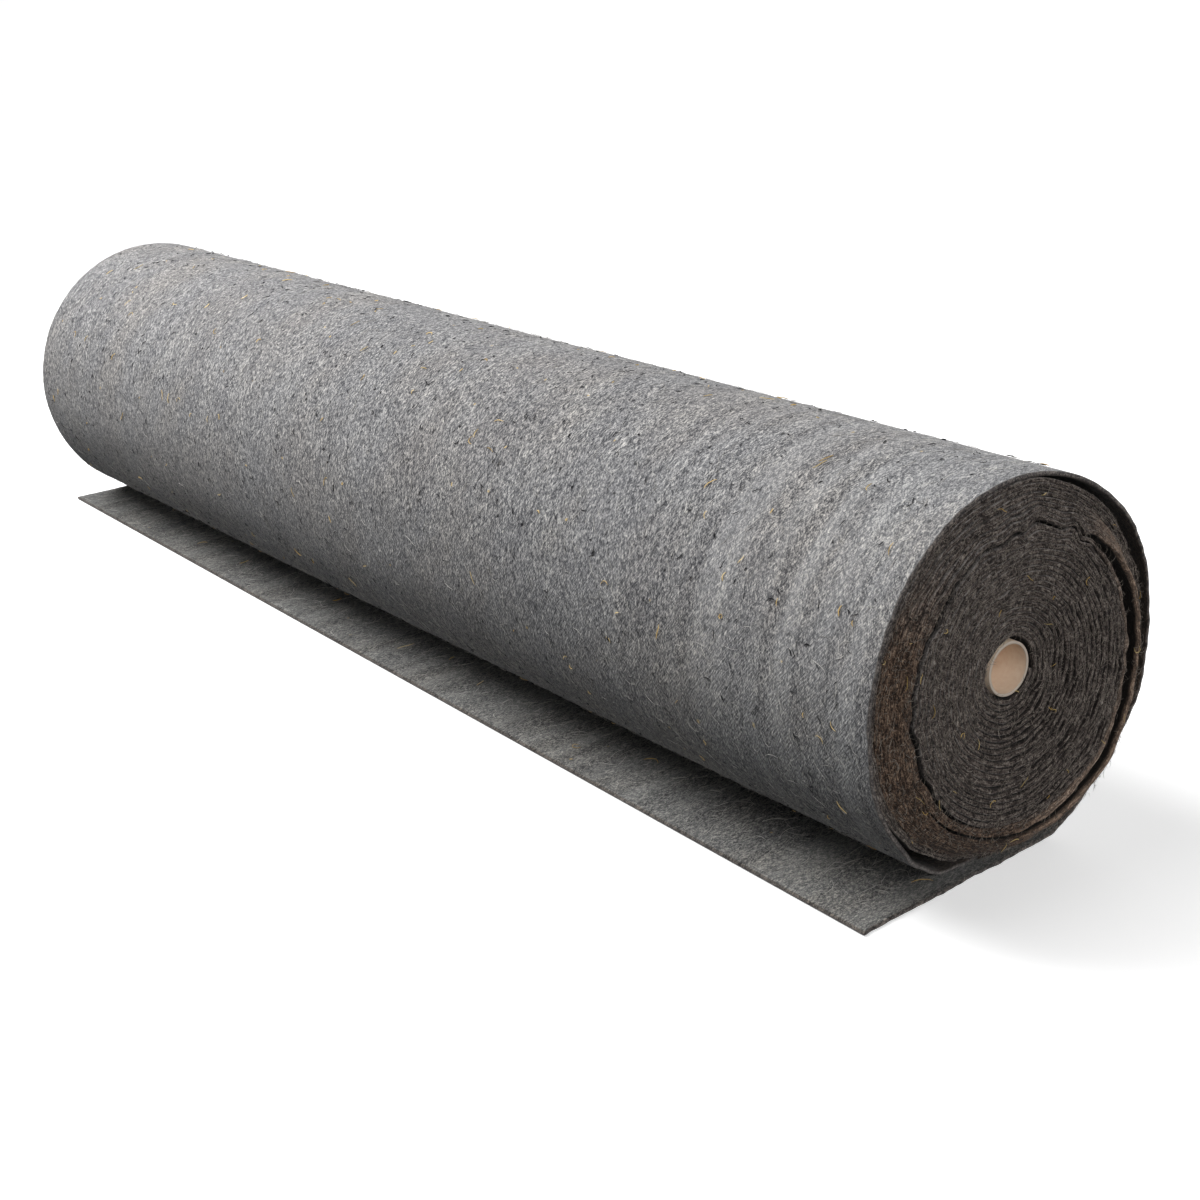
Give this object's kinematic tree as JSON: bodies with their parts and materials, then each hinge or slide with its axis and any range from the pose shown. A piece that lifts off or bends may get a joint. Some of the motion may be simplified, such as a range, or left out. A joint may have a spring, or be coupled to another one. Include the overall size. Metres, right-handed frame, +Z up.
{
  "type": "roll of painters fleece",
  "caption": "Roll of thick grey-brown painters fleece wound on a cardboard core, lying on its side with the slack last turn ending in a flat tail on the floor.",
  "frame": {"origin": "on the floor, under the middle of the roll's box", "axes": "+X along the roll, +Z up, the tail on the floor points towards -Y"},
  "size_m": [1.025, 0.2192, 0.2185],
  "materials": {
    "cardboard": "matte",
    "wound_fleece": "matte, fuzzy cut edges of needled fleece",
    "fleece": "matte, mottled needled fleece of mixed recycled fibres"
  },
  "bodies": {
    "root": {"cardboard_core": "cardboard", "wound_fleece": "wound_fleece", "loose_end": "fleece"}
  },
  "joints": []
}
